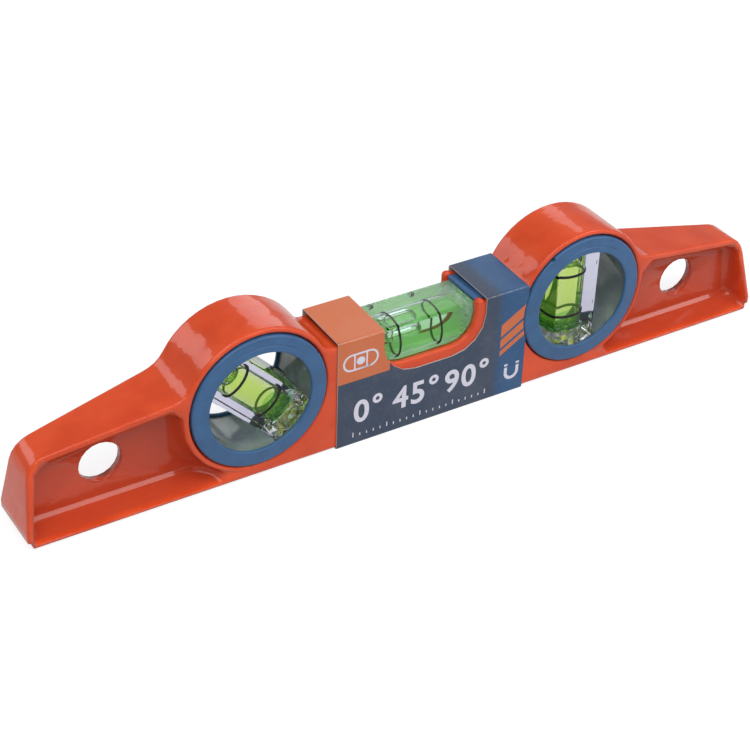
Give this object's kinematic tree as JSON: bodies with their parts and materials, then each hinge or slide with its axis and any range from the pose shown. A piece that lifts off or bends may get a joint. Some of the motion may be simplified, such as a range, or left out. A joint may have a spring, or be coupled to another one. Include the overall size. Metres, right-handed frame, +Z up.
{
  "type": "magnetic spirit level",
  "caption": "Cast torpedo spirit level with a vial in its top edge, tilted and upright vials in round turrets, magnets in its sole and a printed card sleeve.",
  "frame": {"origin": "middle of the underside: the middle of the length and depth, on the surface that the level rests on", "axes": "+X along the level towards the turret with the upright vial, -Y towards the side that the picture shows, +Z up from the sole"},
  "size_m": [0.2508, 0.0216, 0.049],
  "materials": {
    "red_paint": "gloss red-orange enamel on cast alloy",
    "blue_plastic": "satin moulded plastic",
    "clear_acrylic": "clear polished acrylic",
    "smoked_acrylic": "smoked grey, glossy",
    "green_liquid": "clear yellow-green liquid",
    "air": "clear",
    "black_line": "black reading line",
    "plated_magnet": "bright nickel plate",
    "printed_card": "coated card with a print"
  },
  "bodies": {
    "level": {"cast_body": "red_paint", "card_sleeve": "printed_card", "top_vial_block": "clear_acrylic", "top_vial_liquid": "green_liquid", "top_vial_line_a": "black_line", "top_vial_line_b": "black_line", "top_vial_plug": "clear_acrylic", "right_vial_retainer": "blue_plastic", "left_vial_retainer": "blue_plastic", "left_rear_bezel": "blue_plastic", "left_front_bezel": "blue_plastic", "left_liner": "smoked_acrylic", "left_vial_block": "clear_acrylic", "left_vial_liquid": "green_liquid", "left_vial_line_a": "black_line", "left_vial_line_b": "black_line", "left_vial_plug": "clear_acrylic", "right_rear_bezel": "blue_plastic", "right_front_bezel": "blue_plastic", "right_liner": "smoked_acrylic", "right_vial_block": "clear_acrylic", "right_vial_liquid": "green_liquid", "right_vial_line_a": "black_line", "right_vial_line_b": "black_line", "right_vial_plug": "clear_acrylic", "left_inner_magnet": "plated_magnet", "left_outer_magnet": "plated_magnet", "right_inner_magnet": "plated_magnet", "right_outer_magnet": "plated_magnet"},
    "top_bubble": {"top_vial_bubble": "air"},
    "left_bubble": {"left_vial_bubble": "air"},
    "right_bubble": {"right_vial_bubble": "air"}
  },
  "joints": [
    {"name": "top_bubble_slide", "type": "slide", "parent": "level", "child": "top_bubble", "axis": [1, 0, 0], "range_m": [-0.0051, 0.0145], "stiffness_N_per_m": 40},
    {"name": "left_bubble_slide", "type": "slide", "parent": "level", "child": "left_bubble", "axis": [-0.7071, 0, 0.7071], "range_m": [-0.0174, 0], "stiffness_N_per_m": 40},
    {"name": "right_bubble_slide", "type": "slide", "parent": "level", "child": "right_bubble", "axis": [0, 0, 1], "range_m": [-0.0174, 0], "stiffness_N_per_m": 40}
  ]
}
